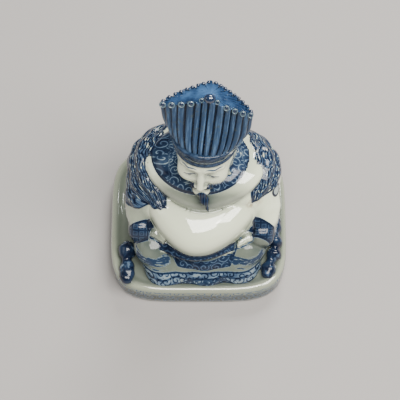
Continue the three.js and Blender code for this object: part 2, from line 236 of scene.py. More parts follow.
def grid_mesh(p, closed_u=True, caps=True):
    """A skin over rows of points p[row][column]."""
    rows, cols = p.shape[:2]
    i = np.arange(rows - 1)[:, None]
    j = np.arange(cols if closed_u else cols - 1)[None, :]
    k = (j + 1) % cols
    f = np.stack([i * cols + j, i * cols + k, (i + 1) * cols + k, (i + 1) * cols + j], -1).reshape(-1, 4)
    v = p.reshape(-1, 3)
    tris = []
    if caps:
        v = np.concatenate([v, p[0].mean(0)[None], p[-1].mean(0)[None]])
        c = np.arange(cols)
        d = (c + 1) % cols
        tris = [np.stack([np.full(cols, rows * cols), d, c], -1), np.stack([np.full(cols, rows * cols + 1), (rows - 1) * cols + c, (rows - 1) * cols + d], -1)]
        tris = np.concatenate(tris)
    return v, f, tris


def ball(c, r, seg=20, turn=0.0, tip=0.0):
    t = np.linspace(0, np.pi, seg // 2 + 1)[1:-1]
    a = np.linspace(0, 2 * np.pi, seg, endpoint=False)
    p = np.stack([np.sin(t)[:, None] * np.cos(a)[None], np.sin(t)[:, None] * np.sin(a)[None], -np.cos(t)[:, None] * np.ones(seg)[None]], -1) * np.array(r)
    v, f, tris = grid_mesh(p)
    v[-2], v[-1] = (0, 0, -r[2]), (0, 0, r[2])
    y, z = spin(v[:, 1], v[:, 2], tip)
    x, y = spin(v[:, 0], y, turn)
    return np.stack([x, y, z], -1) + np.array(c), f, tris


mats = []  # each part: how many quads and triangles, and which glaze
parts = []  # each part: vertices, quads, triangles, {attribute: values}


def add(mesh, **attrs):
    v, f = mesh[0], mesh[1]
    t = mesh[2] if len(mesh) > 2 and len(mesh[2]) else np.zeros((0, 3), int)
    mats.append((len(f), len(t), int("crown" in attrs or "band" in attrs or "boss" in attrs)))
    parts.append((v, f, t, {k: np.broadcast_to(np.asarray(a, float), (len(v),)) for k, a in attrs.items()}))


# ------------------------------------------------------------------ plinth
def outline(z, inset, count=220):
    a = np.linspace(0, 2 * np.pi, count, endpoint=False)
    c, s = np.cos(a), np.sin(a)
    n = PLINTH["square"]
    # even steps round the corners as well as along the sides
    k = (np.abs(c) ** n + np.abs(s) ** n) ** (-1 / n)
    wob = 0.25 * np.sin(3 * a + 1) + 0.2 * np.sin(5 * a)
    return np.stack([(PLINTH["w"] / 2 - inset) * c * k - 0.004 * c * wob, (PLINTH["d"] / 2 - inset) * s * k, np.full(count, z) + 0 * wob], -1)


H = PLINTH["h"]
levels = [
    (2.5, 9.5), (2.3, 8.6), (0.3, 8.1), (0, 7.6), (0, 2.2), (0.2, 1.2), (0.9, 0.65), (2, 0.5), (4, 0.45), (7, 0.3), (10, 0.2), (13, 0.1), (15.5, 0),
    (17.3, 0.15), (18.6, 0.6), (19.7, 1.4), (20.5, 2.5), (20.9, 3.7), (20.95, 4.8), (20.6, 5.9), (20.0, 7.0), (19.4, 8.3), (19.0, 9.8), (18.8, 12), (18.8, 18), (18.8, 30),
]
rings = np.stack([outline(z, i) for z, i in levels])
v, f, tris = grid_mesh(rings)
arc = np.unwrap(np.arctan2(rings[8, :, 0], -rings[8, :, 1])) * 0
step = np.linalg.norm(np.roll(rings[8], -1, 0) - rings[8], axis=1)
arc = np.concatenate([[0], np.cumsum(step)[:-1]])
wall = np.array([min(z - 2.0, 17.8 - z) if i < 2.5 else -5 for z, i in levels])
wall = np.where(np.arange(len(levels)) < 4, -5, wall)
pad = lambda q, e: np.concatenate([q, [e, e]])
add((v, f, tris), tray=pad(np.repeat([i - 7.5 if z > 17 else -9 for z, i in levels], rings.shape[1]), 9), wall=pad(np.repeat(wall, rings.shape[1]), -5), pu=pad(np.tile(arc, len(levels)), 0), pv=pad(np.repeat([z for z, _ in levels], rings.shape[1]), 0), rimtop=pad(np.repeat([1.0 if z > 17 else 0 for z, _ in levels], rings.shape[1]), 0))


# ------------------------------------------------------------------ robe, arms, paunch, belt, collar
def arm_side(s):
    x = lambda k: BODY_X + s * k
    return dict(
        path=[(x(37), 10, 82), (x(43), 3, 71), (x(45.5), -7, 60), (x(46.5), -15, 53), (x(46.5), -21.5, 48)],
        radii=[12, 15, 14.6, 12.6, 10.4],
        cuff=(x(47.5), -25.5, 46.5),
        hand=(x(36.5) + (1.0 if s < 0 else -0.5), -29.5, 51),
        mouth=(x(38.5), -23, 57),
    )


ARMS = {s: arm_side(s) for s in (-1, 1)}


def robe_folds(x, y, z):
    a = np.arctan2(y - WAIST_Y, x - BODY_X)
    fade = np.clip(1 - (z - 15) / 55, 0, 1)
    back = np.maximum(0, np.sin(a))
    return fade * (1.5 * back * np.cos(9 * a) + 0.9 * (1 - np.abs(np.sin(a))) * np.cos(14 * a))


def d_body(x, y, z):
    return rows_dist(x, y, z, BODY, BODY_X, WAIST_Y, back=2.3) - robe_folds(x, y, z)


def d_knees(x, y, z):
    d = None
    for s in (-1, 1):
        cx = BODY_X - 2.5 + s * KNEE["x"]
        e = ellipsoid(x, y, z, (cx, KNEE["y"], KNEE["z"]), (KNEE["rx"], KNEE["ry"], KNEE["rz"]), turn=s * 6)
        rows = [[12, -57, -20, 17, 2.3], [19, -59.6, -20, 18, 2.3], [23, -58, -20, 17, 2.3], [29, -53.6, -20, 15.5, 2.3], [36, -48, -20, 13, 2.3], [44, -40, -20, 10, 2.3]]
        shift = cx - s * (8.5 - (z - 15) * 0.22)
        g = rows_dist(x - shift, y, z, rows, 0, -32, soft=3)
        e = smin(e, g, 3)
        d = e if d is None else np.minimum(d, e)
    return d


def d_apron(x, y, z):
    rows = [[12, -58.5, -20, 15, 2.3], [19, -61, -20, 16, 2.3], [23, -59.2, -20, 15, 2.3], [27, -54.8, -20, 13, 2.3], [35, -50, -20, 14.5, 2.3], [45, -43, -20, 19, 2.3]]
    return rows_dist(x, y, z, rows, BODY_X + 0.5, -34, soft=3)


def d_belly(x, y, z):
    # pointed towards the front in plan, so that the belt hangs in a deep curve
    x, y, z = x - BODY_X, y - BELLY["y"], z - BELLY["z"]
    x = x + BELLY["drift"] * np.clip(-y / BELLY["ry"], 0, 1) ** 2
    y, z = spin(y, z, -11)
    rx, ry, rz, n = BELLY["rx"], BELLY["ry"], BELLY["rz"], BELLY["point"]
    n = np.where(y < 0, n, 2.0)
    soft = BELLY["soft"]
    x = (np.sqrt(x * x + soft * soft) - soft) * rx / (math.hypot(rx, soft) - soft)
    q = (np.abs(x / rx) ** n + np.abs(y / ry) ** n) ** (1 / n)
    m = np.where(z > 0, BELLY["flat"], 2.0)
    k = (q ** m + np.abs(z / rz) ** m) ** (1 / m) + 1e-6
    dist = np.sqrt(x * x + y * y + z * z)
    grad = np.sqrt((q * q * 0.00068) + (z / rz / rz) ** 2) + 1e-9
    return np.minimum(k * (k - 1) / grad, dist)


def belt_uw(x, y, z):
    """Across the belt's face, and along its width: a flat hoop whose face looks up and out."""
    dx, dy = x - BELT["x"], y - BELT["y"]
    dx = dx + BELLY["drift"] * np.clip(-dy / BELT["ry"], 0, 1) ** 2
    n = BELT["point"]
    q = (np.abs(dx / BELT["rx"]) ** n + np.abs(dy / BELT["ry"]) ** n) ** (1 / n) + 1e-6
    r = np.sqrt(dx * dx + dy * dy)
    rad = (r - r / q) * 0.9
    zz = z - BELT["z"]
    return rad * 0.8 + zz * 0.6, -rad * 0.6 + zz * 0.8


def d_belt(x, y, z):
    dx, dy = x - BELT["x"], y - BELT["y"]
    dx = dx + BELLY["drift"] * np.clip(-dy / BELT["ry"], 0, 1) ** 2
    u, w = belt_uw(x, y, z)
    return smax(np.abs(u) - 1.7, np.abs(w) - 3.6, 1.2) + np.where(dy > 8, 3.0, 0)


def d_arms(x, y, z):
    d = None
    for s, a in ARMS.items():
        e = limb(x, y, z, a["path"], a["radii"], k=4)
        # folds that cross the sleeve at the elbow
        t = (z - 47) * 0.9 - (y + 10) * 0.5
        e = e - 0.55 * np.sin(t * 0.52) * np.clip((84 - z) / 20, 0, 1)
        cuff = rows_dist(x - a["cuff"][0], y + 24 + (58.5 - z) * 0.1, z, [[38, -7, 8, 7, 2.8], [43, -9.5, 9.5, 8.8, 2.8], [50, -10.5, 10.5, 9.9, 2.8], [58.5, -7, 7, 6, 2.8]], 0, 0, soft=3)
        e = smin(e, cuff, 2)
        # the sleeve's mouth, where the hand comes out
        e = smax(e, -ellipsoid(x, y, z, a["mouth"], (3.2, 8.5, 7), turn=s * 14), 1.2)
        d = e if d is None else np.minimum(d, e)
    return d


def d_hands(x, y, z):
    d = None
    for s, a in ARMS.items():
        c = a["hand"]
        e = ellipsoid(x, y, z, c, (3.9, 5.4, 3.6), turn=s * 30)
        for k in range(4):
            f = (c[0] - s * (0.2 + k * 1.95), c[1] - 2.6 - k * 1.1, c[2] + 0.7 - 0.4 * k)
            e = smin(e, limb(x, y, z, [(f[0], f[1], f[2] + 1.4), (f[0] - s * 0.4, f[1] - 2.4, f[2] - 0.2), (f[0] - s * 0.4, f[1] - 2.2, f[2] - 3.2)], [1.15, 1.15, 0.9], k=0.5), 0.3)
        d = e if d is None else np.minimum(d, e)
    return d


def shoulder_local(x, y, z, s):
    x, y, z = x - (BODY_X + s * SHOULDER["x"]), y - SHOULDER["y"], z - SHOULDER["z"]
    y, z = spin(y, z, -10)
    # the left shoulder's front end is shorter and straighter than the right one's
    short = (s > 0) & (y < 0)
    bend = np.where(short, 0.002, SHOULDER["bend"])
    return x + s * bend * y * y, np.where(short, y * 1.4, y), z


def leaf_region(x, y, z):
    """How far inside the leaf-carved part of the shoulders a point lies, above its lower edge."""
    left = (x + 26) * -0.407 + (y + 17) * 0.115 + (z - 78) * 0.907
    right = (x - 42) * -0.256 + (y + 11) * 0.217 + (z - 78) * 0.942
    # each side ends in a point at the front
    return np.where(x < BODY_X, np.minimum(left, (-24 - x) * 0.8), np.minimum(right, (x - 39) * 0.7 + (y + 11) * 0.12))


def leaf_relief(x, y, z):
    s = np.where(x > BODY_X, 1, -1)
    lx, ly, lz = shoulder_local(x, y, z, s)
    a = np.arctan2(lz, lx * s)
    curl = np.sin(ly * 0.42 + 3 * np.sin(2 * a))
    return 0.75 * np.cos(SHOULDER["leaves"] * a + 0.5 * np.sin(ly * 0.22)) + 0.45 * curl


def d_shoulders(x, y, z, carve=True):
    d = None
    for s in (-1, 1):
        lx, ly, lz = shoulder_local(x, y, z, s)
        e = ellipsoid(lx, ly, lz, (0, 0, 0), (SHOULDER["rx"], SHOULDER["ry"], SHOULDER["rz"]))
        d = e if d is None else np.minimum(d, e)
    return d


def d_yoke(x, y, z):
    return rows_dist(x, y, z, YOKE, BODY_X, 10, soft=1.2)


def d_collar(x, y, z):
    return rows_dist(x, y, z, COLLAR, BODY_X, 12, soft=1.0)


def collar_at(tx, ty, z):
    return d_collar(tx + 2.8, ty, z)


LUMPS = [
    ((-57, -48, 21.5), (6.4, 11, 6), 0, 3), ((-57, -31, 23.5), (7, 8, 7.5), 0, 2),
    ((55.5, -46, 21), (6.0, 8.0, 5.8), -12, 3), ((60.0, -34, 22), (6.6, 5.6, 7.2), 34, 2), ((61.5, -24, 24), (5.2, 6.4, 8.2), -24, 2), ((62.0, -11, 24), (4.4, 9, 8.0), -8, 2),
]


def d_lumps(x, y, z):
    d = None
    for c, r, turn, n in LUMPS:
        e = ellipsoid(x, y, z, c, r, turn=turn)
        e = e - 0.32 * np.cos((y - c[1]) * 0.75 + 0.3 * (x - c[0])) - 0.15 * np.cos((x - c[0]) * 0.9 + c[1])
        d = e if d is None else smin(d, e, 2.6)
    return d


def d_figure(x, y, z):
    tx, ty = untwist(x, y, z)
    d = smin(d_body(tx, ty, z), d_knees(tx, ty, z), 4.5)
    d = smin(d, d_apron(tx, ty, z), 4.0)
    # a crease runs under the knees and along the hem
    d = d + 0.7 * np.exp(-(((z - 30.5 - 1.2 * np.cos((tx - BODY_X) * 0.16)) / 1.6) ** 2)) * (ty < -20)
    ax, ay = spin(x, y, -along(TWIST, 60.0)[0], BODY_X, 0)
    d = smin(d, d_arms(ax, ay, z), 2.4)
    d = smin(d, d_belly(x, y, z), 1.6)
    d = smin(d, d_belt(x, y, z), 0.8)
    d = smin(d, d_hands(ax, ay, z), 0.7)
    sx, sy = spin(x, y, -along(TWIST, 90.0)[0], BODY_X, 0)
    d = smin(d, d_shoulders(sx, sy, z), 1.6)
    yoke = d_yoke(tx, ty, z)
    leaf = np.clip(leaf_region(x, y, z) / 1.2, 0, 1)
    # the leaves stand a little proud of the sleeve, with a step at their lower edge
    d = d - leaf * np.clip(yoke - 0.3, 0, 1) * (0.7 + leaf_relief(sx, sy, z))
    # creases under the yoke and over the paunch
    d = d + 1.3 * np.exp(-((np.clip(yoke, 0, 9) / 1.9) ** 2)) * (ty < 4) * (z < 92)
    d = smin(d, yoke, 0.5)
    d = smin(d, collar_at(tx, ty, z), 0.6)
    return smin(d, d_lumps(x, y, z), 1.0)


v, f = nets(d_figure, (-70, -66, 14.2), (72, 60, 111), BODY_CELL)
x, y, z = v.T
tx, ty = untwist(x, y, z)
ax, ay = spin(x, y, -along(TWIST, 60.0)[0], BODY_X, 0)
sx, sy = spin(x, y, -along(TWIST, 90.0)[0], BODY_X, 0)
dc, dy_, dbt, dbe, dha, dlu, dar = (
    collar_at(tx, ty, z), d_yoke(tx, ty, z), d_belt(x, y, z), d_belly(x, y, z), d_hands(ax, ay, z), d_lumps(x, y, z), d_arms(ax, ay, z))


def gated(gate, inside):
    """Inside where the gate is open; outside the gate, the smaller of the two."""
    return np.where(gate > 0, inside, np.minimum(gate, inside))


cdx, cdy = tx + 2.8 - BODY_X, ty - 12
cq = np.hypot(cdx / 38, cdy / np.where(cdy < 0, 30.8, 28.5))
collar = gated(0.8 - dc, np.minimum(39.2 * (1 - cq) + 0.6, z - 90))
should = gated(np.minimum(np.minimum(dy_ - 0.35, dc - 0.4), y + 26), np.minimum(leaf_region(x, y, z) - 0.4, dy_ * 1.5))
belt = gated(np.minimum(0.9 - dbt, dha - 0.3), 3.4 - np.abs(belt_uw(x, y, z)[1]))
ang = np.arctan2(cdx, -cdy)
pu, pv = ang * 32, np.hypot(cdx, cdy * 1.2)
m = belt > -1.5
bang = np.arctan2(x - BELT["x"], -(y - BELT["y"]) * BELT["rx"] / BELT["ry"])
pu, pv = np.where(m, bang * 38, pu), np.where(m, z * 0.8 + np.hypot(x - BELT["x"], y - BELT["y"]) * -0.6, pv)
ls = np.where(x > BODY_X, 1, -1)
lx, ly, lz = shoulder_local(sx, sy, z, ls)
m = should > -1.5
pu, pv = np.where(m, np.arctan2(lz, lx * ls) * 20, pu), np.where(m, ly, pv)
# sleeve borders
cuff = -9 * np.ones(len(v))
for s, a in ARMS.items():
    ccx, ccy = a["cuff"][0], a["cuff"][1]
    mid = -5.8 if s < 0 else -2.0
    e = np.minimum(np.minimum((8.2 if s < 0 else 10.4) - np.abs(ax - ccx - (-1.6 if s < 0 else 0.3)), 5.9 - np.abs(ay - ccy - mid + (ax - ccx) * s * 0.2)), z - 36)
    e = gated(np.minimum(1.4 - dar, np.minimum(dha - 0.6, np.minimum(dbe - 0.8, dbt - 0.5))), e)
    cuff = np.maximum(cuff, e)
    m = e > -1.5
    pu, pv = np.where(m, ax - ccx, pu), np.where(m, (ay - ccy) * 0.8 + (z - 50) * 0.6, pv)
front = (ty < -24) & (z < 46) & (dbt > 1.0) & (dlu > 1.0)
knee_c = np.where(tx > BODY_X - 2.5, BODY_X - 2.5 + 37, BODY_X - 2.5 - 37)
kx = tx - knee_c
knee_line = 35.0 + 0.006 * kx * kx
waves = np.where(front, np.minimum(np.minimum(knee_line + 5.5 - z, z - knee_line + 1.4), 13.5 - np.abs(kx)), -9)
waves = np.maximum(waves, np.where(front, np.minimum(np.minimum(knee_line - 2.6 - z, z - knee_line + 4.4), 10.5 - np.abs(kx)), -9))
apron = np.where(front & (dbt > 0.9), np.minimum(np.minimum(z - 31.0 - 0.004 * (tx - 4) ** 2, 38.6 + 0.011 * (tx - 4) ** 2 - z), 22 - np.abs(tx - BODY_X) + (z - 35) * 0.5), -9)
hem = np.where(front, np.minimum(29.5 + 0.7 * np.cos((tx - BODY_X) * 0.16) - z, z - 18.6), -9)
hemback = np.where((ty >= -24) & (dlu > 1.2) & (dar > 1.0), np.minimum(29 - z, z - 21), -9)
lens = np.where(front, np.minimum(26 - 0.011 * (tx - 4) ** 2 - z, z - 17.5), -9)
m = front & (dar > 1.5)
pu, pv = np.where(m, tx - BODY_X, pu), np.where(m, z * 1.25, pv)
fold = -9 * np.ones(len(v))
for pts in ([(-44.2, -13, 62), (-42.6, -20, 58.5), (-41.2, -28, 52)], [(-40.8, -16, 61), (-38.8, -24, 56), (-36.5, -31, 49)], [(48, -21, 59), (45.5, -28, 53), (43, -34, 46)], [(43, -20, 60), (41, -27, 54)]):
    fold = np.maximum(fold, 2.4 - limb(x, y, z, pts, [0.2, 0.6, 0.2]))
fold = np.maximum(fold, np.where(belt > 0, 2.8 - dbe, -9))
fold = np.where((dha > 0.5) & (dbe > 0.3), fold, -9)
fold = np.maximum(fold, np.where((z > 42) & (dbe > 0.5), 0.7 - np.abs(dha - 1.1), -9))
lump = np.minimum(0.9 - dlu, 9)
belly = np.minimum(0.5 - dbe, 9)
back = np.clip((ty - 10) / 6, 0, 1)
# round mark on the figure's left upper arm
mark = 6.8 - np.sqrt((x - 57.5) ** 2 + (y + 3) ** 2 + (z - 76) ** 2)
stain = np.zeros(len(v))
for c, size in (((43, -12, 78), 6.0), ((49, 20, 96), 7.0), ((-42, 28, 95), 5.0), ((-56, -9, 62), 4.0), ((-28, -50, 22), 4.0), ((40, -16, 79), 4.5)):
    stain = np.maximum(stain, np.clip(1.3 - np.sqrt((x - c[0]) ** 2 + (y - c[1]) ** 2 + (z - c[2]) ** 2) / size, 0, 1))
# painted shade: a dark grey-blue wash over the knees, the sleeve on the figure's right and the chest
tone = np.clip((-ty - 12) / 8, 0, 1) * np.clip((60 - z) / 6, 0, 1) * (dbt > 0.6) * (dha > 0.3) * (dbe > 0.4) * 1.25
tone = np.maximum(tone, np.clip((-tx - 22) / 8, 0, 1) * np.clip((z - 40) / 8, 0, 1) * np.clip((88 - z) / 8, 0, 1) * np.clip((24 - ty) / 16, 0, 1) * np.clip(dbe / 4, 0, 1) * 0.85)
tone = np.maximum(tone, np.clip((-ty - 6) / 10, 0, 1) * np.clip((1.5 - dy_) / 1.5, 0, 1) * np.clip((102 - z) / 8, 0, 1) * (dc > 0.4) * 1.04)
m = hemback > -1.5
pu, pv = np.where(m, np.arctan2(tx - BODY_X, ty) * 50, pu), np.where(m, z * 1.1, pv)
add((v, f), tone=tone, hemback=hemback, fold=fold, collar=collar, should=should, belt=belt, cuff=cuff, waves=waves, apron=apron, hem=hem, lens=lens, lump=lump, belly=belly, mark=mark, stain=stain, pu=pu, pv=pv)


# ------------------------------------------------------------------ head
def to_world(v, tilted=True):
    x, y, z = v.T
    if tilted:
        x, y, z = x * HEAD["grow"][0], y * HEAD["grow"][1], HEAD["hinge"] + (z - HEAD["hinge"]) * HEAD["grow"][2]
        y, z = spin(y, z - HEAD["hinge"], -HEAD["tilt"])
        z = z + HEAD["hinge"]
    x, y = spin(x, y, HEAD["turn"])
    return np.stack([x + HEAD["x"], y + HEAD["y"], z], -1)


HZ = HEAD["z"]
EYE, NOSE, LIP, CHIN = HZ - 5.0, HZ - 14.8, HZ - 20.0, HZ - 27.0


def d_head(x, y, z):
    u = np.abs(x)
    q = (z - HZ) / HEAD["rz"]
    low = np.clip(-q, 0, 0.999)
    wide = 1 - 0.24 * low ** 1.7
    prof = 1 - 0.1 * low ** 2
    ex = 2 + 0.7 * np.clip(low * 3, 0, 1)
    k = ((np.sqrt((x / (HEAD["rx"] * wide)) ** 2 + (y / (HEAD["ry"] * prof)) ** 2) + 1e-6) ** ex + np.abs(q) ** ex) ** (1 / ex) + 1e-6
    r = np.sqrt(x * x + y * y + (z - HZ) ** 2)
    d = r - r / k
    # cheeks, jaw and chin
    d = smin(d, ellipsoid(u, y, z, (9.5, -14.2, HZ - 9), (8.2, 6.8, 8)), 4)
    d = smin(d, ellipsoid(x, y, z, (0, -17.6, CHIN + 1.5), (6.4, 4.6, 4.6)), 4)
    # eye hollows, brows and lids
    d = smax(d, -ellipsoid(u, y, z, (8.4, -23.6, EYE + 0.6), (6.2, 3.6, 4.0), turn=-14), 3.2)
    d = smin(d, ellipsoid(u, y, z, (8.4, -17.0, EYE), (5.2, 4.2, 3.6), turn=-14), 1.2)
    d = smin(d, limb(u, y, z, [(2.6, -21.6, EYE + 6.2), (8.4, -20.6, EYE + 7.8), (14.4, -16.4, EYE + 6.2)], [1.3, 1.5, 0.9]), 2.6)
    # nose
    d = smin(d, limb(x, y, z, [(0, -20.2, EYE + 5), (0, -22.4, EYE - 3), (0, -25.2, NOSE + 1.2)], [1.6, 1.9, 2.6]), 2.4)
    d = smin(d, ellipsoid(u, y, z, (2.9, -22.9, NOSE + 0.3), (1.9, 2.4, 1.7)), 1.2)
    # lips, with a line between them
    d = smin(d, ellipsoid(x, y, z, (0, -20.4, LIP + 1.0), (5.4, 2.7, 1.35)), 0.9)
    d = smin(d, ellipsoid(x, y, z, (0, -20.0, LIP - 1.5), (4.2, 2.7, 1.5)), 0.9)
    # ears
    ear = ellipsoid(u, y, z, (19.9, 4, HZ - 3), (2.0, 5.0, 8.6), tip=-8)
    ear = smin(ear, ellipsoid(u, y, z, (18.0, 2.4, HZ - 13), (2.1, 2.8, 6.4), tip=-6), 2)
    ear = smax(ear, -ellipsoid(u, y, z, (22.6, 3.4, HZ - 2), (1.8, 2.6, 5)), 1)
    d = smin(d, ear, 1.2)
    # neck
    d = smin(d, limb(x, y, z, [(0, 4, HZ - 34), (0, 2, HZ - 18)], [14.5, 14.5]), 3)
    # beard and moustache
    tuft = limb(x, y, z, [(0.6, -19.4, CHIN), (3.0, -21.6, CHIN - 6), (6.2, -24.2, CHIN - 14)], [3.5, 2.7, 0.6])
    tuft = tuft - 0.22 * np.cos(x * 3.4 + z * 0.25)
    d = smin(d, tuft, 1.2)
    stache = limb(u, y, z, [(1.2, -22.2, LIP + 3.2), (5.2, -20.8, LIP + 2.2), (8.6, -18.4, LIP - 1.4)], [1.1, 1.1, 0.5])
    return smin(d, stache, 0.8)


v, f = nets(d_head, (-25, -34, HZ - 50), (25, 27, HEAD["hinge"] + 6), HEAD_CELL)
x, y, z = v.T
u = np.abs(x)
tuft = limb(x, y, z, [(0.6, -19.4, CHIN), (3.0, -21.6, CHIN - 6), (6.2, -24.2, CHIN - 14)], [3.5, 2.7, 0.6])
stache = limb(u, y, z, [(1.2, -22.2, LIP + 3.2), (5.2, -20.8, LIP + 2.2), (8.6, -18.4, LIP - 1.4)], [1.1, 1.1, 0.5])
beard = np.maximum(0.7 - tuft, 0.6 - stache)
hair = np.minimum(y - 6.5 - 0.25 * (HZ + 4 - z), z - (HZ - 20)) * 1.0
hair = np.where(y > 2, hair, -9)
ink = -y - 7.0
add((to_world(v), f), beard=beard, hair=hair, ink=ink, skin=1.0, pu=x * 1.0, pv=z * 1.0)


# ------------------------------------------------------------------ crown
def gable(x, y):
    return CROWN["ridge"] - CROWN["slope"] * np.abs(x) + y * CROWN["fall"]


def rib_phase(t):
    # hand-cut, so no two ribs are quite as wide
    return CROWN["ribs"] * (0.6 * np.sin(t) + 0.4 * t / (np.pi / 2)) + 0.13 * np.cos(t) * np.sin(9 * t + 1.2)


def lean(v):
    """The crown's top sits a little to the figure's left, and its ridge more so."""
    x = v[:, 0]
    k = np.clip((v[:, 2] - 152) / 44, 0, 1)
    return np.stack([x + 1.2 + k * (2.0 + 0.02 * x - 0.002 * x * x), v[:, 1], v[:, 2]], -1)


def to_world_mesh(mesh):
    v, f, tris = mesh
    return to_world(lean(v), False), f, tris


STEPS = 10
table = np.linspace(-np.pi / 2, np.pi / 2, 4001)
phases = np.arange(-CROWN["ribs"] * STEPS, CROWN["ribs"] * STEPS) / STEPS
ts = np.interp(phases, rib_phase(table), table)


def crown_ring(z, shrink=0.0):
    f, mid, b, hw, n = along(CROWN_ROWS, np.array(float(z)))
    rise = np.clip((z - 150.5) / 4, 0, 1)
    out, ph = [], []
    for side in (-1, 1):
        g = CROWN["depth"] * rise * (np.abs(np.sin(phases * np.pi)) ** 0.5 - 0.75) - shrink
        x = -side * np.sin(ts)
        c = np.cos(ts)
        if side < 0:
            yy = mid - (mid - f) * c
        else:
            yy = mid + (b - mid) * (1 - np.minimum(np.abs(x), 1) ** n) ** (1 / n)
        out.append(np.stack([x * (hw + g), yy + g * side * c, np.full(len(ts), float(z))], -1))
        ph.append(np.abs(np.sin(phases * np.pi)))
    return np.concatenate(out), np.concatenate(ph)


zs = np.concatenate([[147, 149, 150.5, 151.5, 152.5], np.linspace(154, 200, 22)])
cr, ribv = [], []
for q in np.linspace(0, 1, len(zs)):
    # each level runs up to the gable, so the side ribs are cut shorter than the middle ones
    z0 = np.interp(q, np.linspace(0, 1, len(zs)), zs)
    ring, ph = crown_ring(z0)
    cr.append(ring)
    ribv.append(ph)
cr, ribv = np.array(cr), np.array(ribv)
# squeeze the heights so that the last level lies on the gable
for j in range(cr.shape[1]):
    for it in range(2):
        top = gable(cr[-1, j, 0], cr[-1, j, 1])
        want = np.where(zs > 152, 152 + (zs - 152) * (top - 152) / (zs[-1] - 152), zs)
        ring = cr[:, j].copy()
        # the same column, read again at its new heights
        for axis in (0, 1):
            cr[:, j, axis] = np.interp(want, zs, ring[:, axis]) if it == 0 else cr[:, j, axis]
        cr[:, j, 2] = want
inner = cr[-1].copy()
inner[:, 2] = gable(inner[:, 0], inner[:, 1])
cr[-1] = inner
lid = []
for k in (0.985, 0.95, 0.88, 0.7, 0.45, 0.2):
    r = inner.copy()
    r[:, 0] *= k
    r[:, 1] = 0.5 + (r[:, 1] - 0.5) * k
    r[:, 2] = gable(r[:, 0], r[:, 1]) - 1.0 * (k < 0.96) + 0.25 * (k > 0.96)
    lid.append(r)
p = np.concatenate([cr, np.array(lid)])
n_l = len(cr)
rv = np.concatenate([ribv, np.tile(ribv[-1] * 0 + 1, (len(lid), 1))])
v, f, tris = grid_mesh(p)
v[-1, 2] = gable(v[-1, 0], v[-1, 1]) - 1.0
topm = np.concatenate([np.full(n_l, -3.0), [0.3, 1, 2, 3, 3, 3]])
add(to_world_mesh((v, f, tris)), crown=4.0, rib=pad(rv.ravel(), 1), ctop=pad(np.repeat(topm, p.shape[1]), 3), pu=pad(np.repeat(np.zeros(len(p)), p.shape[1]) + p[..., 0].ravel(), 0), pv=pad(p[..., 2].ravel(), 190))

a = np.linspace(0, 2 * np.pi, 120, endpoint=False)
sec = [(136.4, 22.0, 22.6), (136.6, 23.4, 24.0), (137.4, 24.4, 24.9), (138.8, 24.8, 25.3), (140.2, 24.5, 24.9), (141.1, 23.9, 24.2), (141.9, 24.4, 24.5), (143, 25.0, 24.9), (145.5, 25.6, 25.1), (148, 26.3, 25.2), (150.3, 27.0, 25.2), (151.4, 27.2, 25.0), (152.0, 26.6, 24.3), (152.2, 25.0, 22.6)]
wob = lambda q, zz: 0.22 * np.cos(15 * q + 0.4) * (141.9 < zz < 151)
band = np.stack([np.stack([(rx + wob(a, zz)) * np.cos(a), -1.3 + (ry + wob(a, zz)) * np.sin(a), np.full(len(a), zz)], -1) for zz, rx, ry in sec])
v, f, tris = grid_mesh(band)
add((to_world(v, False), f, tris), band=4.0, rib=1.0, pu=pad(np.tile(a * 25, len(sec)), 0), pv=pad(np.repeat([s[0] for s in sec], len(a)), 145))


def boss(c, r, ring=True):
    add((to_world_mesh(ball(c, (r * 0.95, r * 0.8, r * 0.95), 14))), boss=1.0, pu=0.0, pv=0.0)
    if ring:
        # a raised ring round a small eye, facing forward
        a1 = np.linspace(0, 2 * np.pi, 18, endpoint=False)
        a2 = np.linspace(0, 2 * np.pi, 8, endpoint=False)
        g = np.zeros((18, 8, 3))
        g[..., 0] = (r * 0.72 + 0.5 * np.cos(a2)[None]) * np.cos(a1)[:, None]
        g[..., 2] = (r * 0.72 + 0.5 * np.cos(a2)[None]) * np.sin(a1)[:, None]
        g[..., 1] = 0.55 * np.sin(a2)[None] - r * 0.55
        y, z = spin(g[..., 1], g[..., 2], -32)
        g[..., 1], g[..., 2] = y, z
        i = np.arange(18)[:, None]
        j = np.arange(8)[None]
        i2, j2 = (i + 1) % 18, (j + 1) % 8
        f = np.stack([i * 8 + j + 0 * i2, i * 8 + j2, i2 * 8 + j2, i2 * 8 + j], -1).reshape(-1, 4)
        vv = g.reshape(-1, 3) + np.array(c)
        add((to_world(lean(vv), False), f), boss=2.0, pu=0.0, pv=0.0)


for side in (-1, 1):
    for k in (6.4, 12.6, 19, 25.4, 31.4):
        row = along(CROWN_ROWS, np.array(float(gable(k, 0))))
        f_, mid, b_, hw, n_ = row
        q = min(k / hw, 0.995)
        yf = mid - (mid - f_) * math.sqrt(1 - q * q)
        yb = mid + (b_ - mid) * (1 - q ** n_) ** (1 / n_)
        if k > 8:
            boss((side * k, yf + 0.5, gable(k, yf) - 0.4), 2.6)
for side in (-1, 1):
    for k in np.linspace(2.5, 31.5, 9):
        row = along(CROWN_ROWS, np.array(float(gable(k, 0))))
        yb = row[1] + (row[2] - row[1]) * (1 - (k / row[3]) ** row[4]) ** (1 / row[4])
        add(to_world_mesh(ball((side * k, yb - 0.3, gable(k, yb) - 0.1), (1.45, 1.3, 1.2), 12)), boss=0.6, pu=0.0, pv=0.0)
add(to_world_mesh(ball((0, -4.6, CROWN["ridge"] - 0.6), (4.3, 3.6, 3.7), 24)), boss=0.3, pu=0.0, pv=0.0)
for side in (-1, 1):
    boss((side * 5.6, -4.9, gable(5.6, -5) - 0.6), 2.1)

